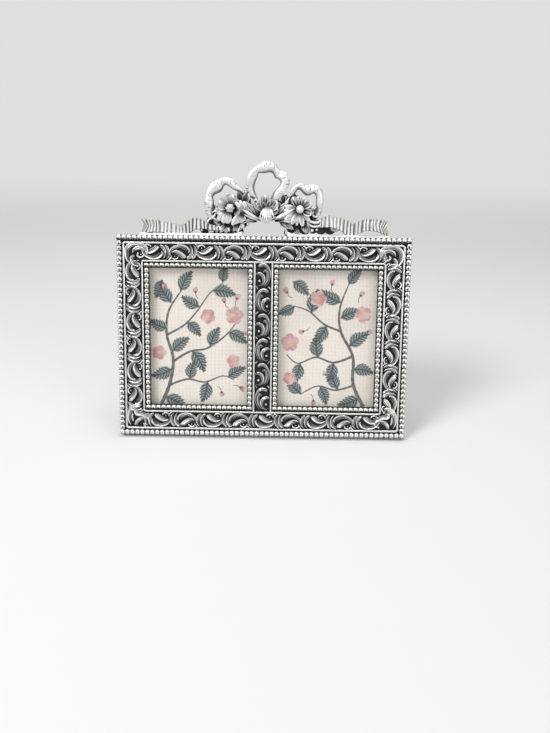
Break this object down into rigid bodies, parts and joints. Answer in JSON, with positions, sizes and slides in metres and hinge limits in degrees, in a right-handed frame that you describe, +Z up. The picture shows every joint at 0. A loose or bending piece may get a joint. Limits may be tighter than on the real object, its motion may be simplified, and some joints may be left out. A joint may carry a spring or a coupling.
{
  "type": "double photo frame",
  "caption": "Small standing double photo frame in antique silver with beaded scroll borders, a ribbon and flower crest, glazed windows, turn-button back and hinged strut.",
  "frame": {"origin": "middle of the frame's levelled lower rear edge, on the surface that it stands on", "axes": "+X to the viewer's right along the frame, +Y to the back, +Z up; the frame leans back 14 degrees"},
  "size_m": [0.112, 0.0347, 0.1036],
  "materials": {
    "antique_silver": "antique silver plate over cast metal, polished on the high spots and dark in the recesses",
    "relief_silver": "antique silver relief with a near-black wash between the scrolls",
    "glass": "clear float glass",
    "print_paper": "cream picture card with a printed branch, leaves and blossom",
    "filler_card": "plain grey-brown card",
    "black_board": "black covered board, matte",
    "brass": "plain stamped brass",
    "steel": "bright plated steel"
  },
  "bodies": {
    "frame": {"front_frame": "antique_silver", "crest": "antique_silver", "outer_beading": "antique_silver", "left_window_beading": "antique_silver", "right_window_beading": "antique_silver", "border_scrolls": "relief_silver", "centre_scrolls": "relief_silver", "left_glass": "glass", "right_glass": "glass", "left_print": "print_paper", "right_print": "print_paper", "left_filler_card": "filler_card", "right_filler_card": "filler_card", "backing_board": "black_board", "turn_button_screws": "steel", "hinge_fixed_leaf": "brass", "hinge_pin": "steel", "hinge_board_rivets": "steel"},
    "strut": {"strut_board": "black_board", "hinge_moving_leaf": "brass", "hinge_strut_rivets": "steel"},
    "turn_button_top_left": {"turn_button_top_left": "brass"},
    "turn_button_top_right": {"turn_button_top_right": "brass"},
    "turn_button_left": {"turn_button_left": "brass"},
    "turn_button_right": {"turn_button_right": "brass"}
  },
  "joints": [
    {"name": "strut_hinge", "type": "hinge", "parent": "frame", "child": "strut", "pos_m": [0, 0.01582, 0.05347], "axis": [1, 0, 0], "range_deg": [-27, 0]},
    {"name": "turn_button_top_left_pivot", "type": "hinge", "parent": "frame", "child": "turn_button_top_left", "pos_m": [-0.03, 0.01962, 0.07221], "axis": [0, -0.9703, 0.2419], "continuous": true},
    {"name": "turn_button_top_right_pivot", "type": "hinge", "parent": "frame", "child": "turn_button_top_right", "pos_m": [0.03, 0.01962, 0.07221], "axis": [0, -0.9703, 0.2419], "continuous": true},
    {"name": "turn_button_left_pivot", "type": "hinge", "parent": "frame", "child": "turn_button_left", "pos_m": [-0.0536, 0.00629, 0.01875], "axis": [0, -0.9703, 0.2419], "continuous": true},
    {"name": "turn_button_right_pivot", "type": "hinge", "parent": "frame", "child": "turn_button_right", "pos_m": [0.0536, 0.00629, 0.01875], "axis": [0, -0.9703, 0.2419], "continuous": true}
  ]
}
